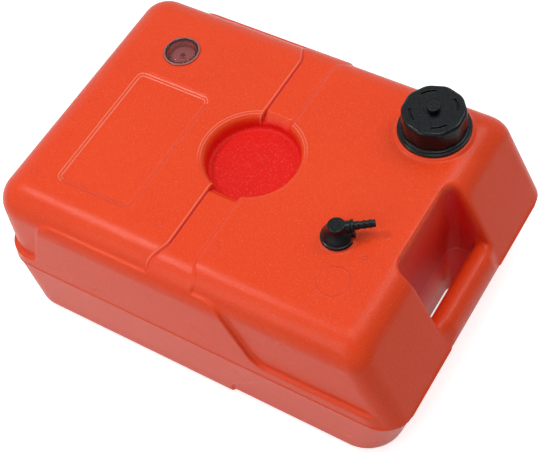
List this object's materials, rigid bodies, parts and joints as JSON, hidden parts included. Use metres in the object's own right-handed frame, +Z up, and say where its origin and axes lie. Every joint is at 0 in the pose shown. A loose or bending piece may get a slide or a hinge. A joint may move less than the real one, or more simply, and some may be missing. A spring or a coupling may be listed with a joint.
{
  "type": "portable outboard fuel tank",
  "caption": "Low rounded-box portable fuel tank with a moulded end handle, vented screw cap, swivelling hose outlet and a float gauge.",
  "frame": {"origin": "middle of the tank's underside, on the surface it stands on", "axes": "+Z up; +X along the length, towards the end with the handle; +Y away from the side that faces the user"},
  "size_m": [0.5018, 0.3518, 0.248],
  "materials": {
    "tank_red": "blow-moulded polyethylene, fine satin texture",
    "black_plastic": "moulded satin black",
    "rubber": "black nitrile rubber",
    "steel": "plain stainless steel",
    "white_plastic": "natural acetal",
    "clear_plastic": "clear polycarbonate",
    "pointer_orange": "moulded orange",
    "brass_strip": "twisted brass strip",
    "float_foam": "closed-cell foam"
  },
  "bodies": {
    "tank": {"tank_body": "tank_red", "outlet_base": "black_plastic", "outlet_gasket": "rubber", "swivel_o_ring": "rubber", "pickup_tube": "black_plastic", "strainer_cage": "white_plastic", "strainer_mesh": "white_plastic", "gauge_lens": "clear_plastic", "gauge_seal": "rubber", "gauge_carrier": "white_plastic", "gauge_dial": "white_plastic", "gauge_foot": "white_plastic", "gauge_rail_left": "steel", "gauge_rail_right": "steel"},
    "cap_seal": {"cap_liner": "black_plastic", "cap_gasket": "rubber"},
    "cap": {"cap_shell": "black_plastic", "vent_washer": "rubber"},
    "vent": {"vent_screw": "black_plastic", "vent_clip": "steel"},
    "outlet": {"outlet_elbow": "black_plastic", "hose_tail": "black_plastic", "tail_seal": "rubber"},
    "float": {"gauge_float": "float_foam", "float_bush": "white_plastic"},
    "needle": {"gauge_spindle": "brass_strip", "gauge_pointer": "pointer_orange"}
  },
  "joints": [
    {"name": "cap_rise", "type": "slide", "parent": "tank", "child": "cap_seal", "axis": [0, 0, 1], "range_m": [0, 0.01]},
    {"name": "cap_turn", "type": "hinge", "parent": "cap_seal", "child": "cap", "pos_m": [0.1485, 0.11, 0.225], "axis": [0, 0, 1], "range_deg": [0, 900]},
    {"name": "vent_turn", "type": "hinge", "parent": "cap", "child": "vent", "pos_m": [0.1485, 0.11, 0.24], "axis": [0, 0, 1], "range_deg": [0, 360]},
    {"name": "outlet_swivel", "type": "hinge", "parent": "tank", "child": "outlet", "pos_m": [0.124, -0.052, 0.22], "axis": [0, 0, 1], "continuous": true},
    {"name": "float_rise", "type": "slide", "parent": "tank", "child": "float", "axis": [0, 0, 1], "range_m": [0, 0.1504]},
    {"name": "needle_turn", "type": "hinge", "parent": "tank", "child": "needle", "pos_m": [-0.1566, 0.0895, 0.1], "axis": [0, 0, 1], "range_deg": [-270, 0]}
  ],
  "couplings": [
    {"joint": "cap_rise", "follows": "cap_turn", "m_per_rad": 0.00063661},
    {"joint": "needle_turn", "follows": "float_rise", "rad_per_m": -31.332}
  ]
}
